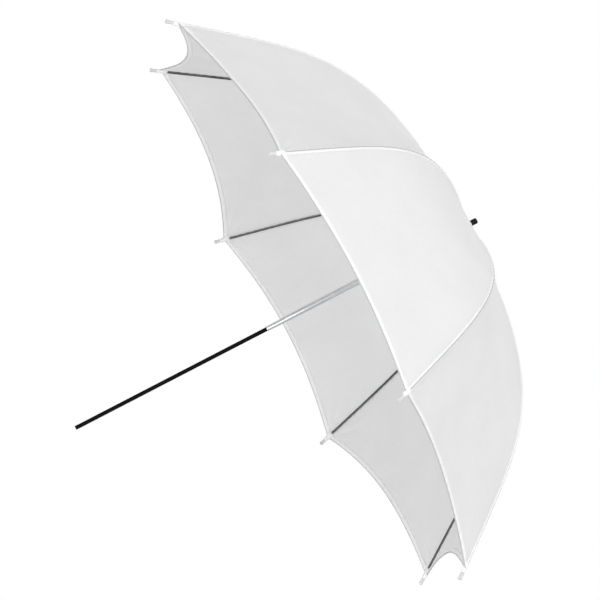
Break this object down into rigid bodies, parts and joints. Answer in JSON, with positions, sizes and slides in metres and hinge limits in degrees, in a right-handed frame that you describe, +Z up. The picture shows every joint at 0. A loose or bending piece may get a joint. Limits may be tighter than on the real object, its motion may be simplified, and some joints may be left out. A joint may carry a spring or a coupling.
{
  "type": "umbrella reflector",
  "caption": "White translucent studio umbrella on a straight stepped shaft: bowed ribs, stretchers, sliding runner, folding canopy and black ferrule.",
  "frame": {"origin": "centre of the shaft's free lower end", "axes": "+Z up the shaft to the ferrule at the crown; rib 1 lies over +X and the ribs follow each other towards +Y"},
  "size_m": [0.9584, 0.9584, 0.6635],
  "materials": {
    "canopy_cloth": "translucent white nylon",
    "dark_rib": "dark plated steel",
    "bright_tube": "bright plated steel tube",
    "black_rod": "gloss black rod",
    "tip_plastic": "light grey plastic",
    "white_plastic": "white plastic",
    "black_plastic": "black plastic",
    "grey_plastic": "black plastic",
    "steel_wire": "bright steel"
  },
  "bodies": {
    "shaft": {"lower_rod": "black_rod", "end_plug": "black_plastic", "upper_tube": "bright_tube", "crown_stud": "bright_tube", "notch_hub": "white_plastic", "notch_wire": "steel_wire", "cloth_washer": "white_plastic", "crown_collar": "white_plastic", "ferrule_cap": "black_plastic", "catch_spring": "steel_wire"},
    "catch": {"catch": "steel_wire"},
    "runner": {"runner": "grey_plastic", "runner_wire": "steel_wire"},
    "rib_1": {"rib_1": "dark_rib", "rib_tip_1": "tip_plastic", "rivet_1": "steel_wire", "canopy_panel_1": "canopy_cloth"},
    "stretcher_1": {"stretcher_1": "dark_rib"},
    "rib_2": {"rib_2": "dark_rib", "rib_tip_2": "tip_plastic", "rivet_2": "steel_wire", "canopy_panel_2": "canopy_cloth"},
    "stretcher_2": {"stretcher_2": "dark_rib"},
    "rib_3": {"rib_3": "dark_rib", "rib_tip_3": "tip_plastic", "rivet_3": "steel_wire", "canopy_panel_3": "canopy_cloth"},
    "stretcher_3": {"stretcher_3": "dark_rib"},
    "rib_4": {"rib_4": "dark_rib", "rib_tip_4": "tip_plastic", "rivet_4": "steel_wire", "canopy_panel_4": "canopy_cloth"},
    "stretcher_4": {"stretcher_4": "dark_rib"},
    "rib_5": {"rib_5": "dark_rib", "rib_tip_5": "tip_plastic", "rivet_5": "steel_wire", "canopy_panel_5": "canopy_cloth"},
    "stretcher_5": {"stretcher_5": "dark_rib"},
    "rib_6": {"rib_6": "dark_rib", "rib_tip_6": "tip_plastic", "rivet_6": "steel_wire", "canopy_panel_6": "canopy_cloth"},
    "stretcher_6": {"stretcher_6": "dark_rib"},
    "rib_7": {"rib_7": "dark_rib", "rib_tip_7": "tip_plastic", "rivet_7": "steel_wire", "canopy_panel_7": "canopy_cloth"},
    "stretcher_7": {"stretcher_7": "dark_rib"},
    "rib_8": {"rib_8": "dark_rib", "rib_tip_8": "tip_plastic", "rivet_8": "steel_wire", "canopy_panel_8": "canopy_cloth"},
    "stretcher_8": {"stretcher_8": "dark_rib"}
  },
  "joints": [
    {"name": "rib_fold_1", "type": "hinge", "parent": "shaft", "child": "rib_1", "pos_m": [0.011, 0, 0.641], "axis": [0, 1, 0], "range_deg": [0, 58.5], "deforming": ["canopy_panel_1"]},
    {"name": "stretcher_turn_1", "type": "hinge", "parent": "rib_1", "child": "stretcher_1", "pos_m": [0.16486, 0, 0.61525], "axis": [0, 1, 0], "range_deg": [-117, 0]},
    {"name": "rib_fold_2", "type": "hinge", "parent": "shaft", "child": "rib_2", "pos_m": [0.00778, 0.00778, 0.641], "axis": [-0.7071, 0.7071, 0], "range_deg": [0, 58.5], "deforming": ["canopy_panel_2"]},
    {"name": "stretcher_turn_2", "type": "hinge", "parent": "rib_2", "child": "stretcher_2", "pos_m": [0.11657, 0.11657, 0.61525], "axis": [-0.7071, 0.7071, 0], "range_deg": [-117, 0]},
    {"name": "rib_fold_3", "type": "hinge", "parent": "shaft", "child": "rib_3", "pos_m": [0, 0.011, 0.641], "axis": [-1, 0, 0], "range_deg": [0, 58.5], "deforming": ["canopy_panel_3"]},
    {"name": "stretcher_turn_3", "type": "hinge", "parent": "rib_3", "child": "stretcher_3", "pos_m": [0, 0.16486, 0.61525], "axis": [-1, 0, 0], "range_deg": [-117, 0]},
    {"name": "rib_fold_4", "type": "hinge", "parent": "shaft", "child": "rib_4", "pos_m": [-0.00778, 0.00778, 0.641], "axis": [-0.7071, -0.7071, 0], "range_deg": [0, 58.5], "deforming": ["canopy_panel_4"]},
    {"name": "stretcher_turn_4", "type": "hinge", "parent": "rib_4", "child": "stretcher_4", "pos_m": [-0.11657, 0.11657, 0.61525], "axis": [-0.7071, -0.7071, 0], "range_deg": [-117, 0]},
    {"name": "rib_fold_5", "type": "hinge", "parent": "shaft", "child": "rib_5", "pos_m": [-0.011, 0, 0.641], "axis": [0, -1, 0], "range_deg": [0, 58.5], "deforming": ["canopy_panel_5"]},
    {"name": "stretcher_turn_5", "type": "hinge", "parent": "rib_5", "child": "stretcher_5", "pos_m": [-0.16486, 0, 0.61525], "axis": [0, -1, 0], "range_deg": [-117, 0]},
    {"name": "rib_fold_6", "type": "hinge", "parent": "shaft", "child": "rib_6", "pos_m": [-0.00778, -0.00778, 0.641], "axis": [0.7071, -0.7071, 0], "range_deg": [0, 58.5], "deforming": ["canopy_panel_6"]},
    {"name": "stretcher_turn_6", "type": "hinge", "parent": "rib_6", "child": "stretcher_6", "pos_m": [-0.11657, -0.11657, 0.61525], "axis": [0.7071, -0.7071, 0], "range_deg": [-117, 0]},
    {"name": "rib_fold_7", "type": "hinge", "parent": "shaft", "child": "rib_7", "pos_m": [0, -0.011, 0.641], "axis": [1, 0, 0], "range_deg": [0, 58.5], "deforming": ["canopy_panel_7"]},
    {"name": "stretcher_turn_7", "type": "hinge", "parent": "rib_7", "child": "stretcher_7", "pos_m": [0, -0.16486, 0.61525], "axis": [1, 0, 0], "range_deg": [-117, 0]},
    {"name": "rib_fold_8", "type": "hinge", "parent": "shaft", "child": "rib_8", "pos_m": [0.00778, -0.00778, 0.641], "axis": [0.7071, 0.7071, 0], "range_deg": [0, 58.5], "deforming": ["canopy_panel_8"]},
    {"name": "stretcher_turn_8", "type": "hinge", "parent": "rib_8", "child": "stretcher_8", "pos_m": [0.11657, -0.11657, 0.61525], "axis": [0.7071, 0.7071, 0], "range_deg": [-117, 0]},
    {"name": "runner_turn", "type": "hinge", "parent": "stretcher_1", "child": "runner", "pos_m": [0.011, 0, 0.58951], "axis": [0, 1, 0], "range_deg": [0, 58.5]},
    {"name": "catch_press", "type": "slide", "parent": "shaft", "child": "catch", "axis": [-1, 0, 0], "range_m": [0, 0.0021], "stiffness_N_per_m": 400, "deforming": ["catch_spring"]}
  ],
  "couplings": [
    {"joint": "stretcher_turn_1", "follows": "rib_fold_1", "ratio": -2},
    {"joint": "rib_fold_2", "follows": "rib_fold_1", "ratio": 1},
    {"joint": "stretcher_turn_2", "follows": "rib_fold_1", "ratio": -2},
    {"joint": "rib_fold_3", "follows": "rib_fold_1", "ratio": 1},
    {"joint": "stretcher_turn_3", "follows": "rib_fold_1", "ratio": -2},
    {"joint": "rib_fold_4", "follows": "rib_fold_1", "ratio": 1},
    {"joint": "stretcher_turn_4", "follows": "rib_fold_1", "ratio": -2},
    {"joint": "rib_fold_5", "follows": "rib_fold_1", "ratio": 1},
    {"joint": "stretcher_turn_5", "follows": "rib_fold_1", "ratio": -2},
    {"joint": "rib_fold_6", "follows": "rib_fold_1", "ratio": 1},
    {"joint": "stretcher_turn_6", "follows": "rib_fold_1", "ratio": -2},
    {"joint": "rib_fold_7", "follows": "rib_fold_1", "ratio": 1},
    {"joint": "stretcher_turn_7", "follows": "rib_fold_1", "ratio": -2},
    {"joint": "rib_fold_8", "follows": "rib_fold_1", "ratio": 1},
    {"joint": "stretcher_turn_8", "follows": "rib_fold_1", "ratio": -2},
    {"joint": "runner_turn", "follows": "rib_fold_1", "ratio": 1}
  ]
}
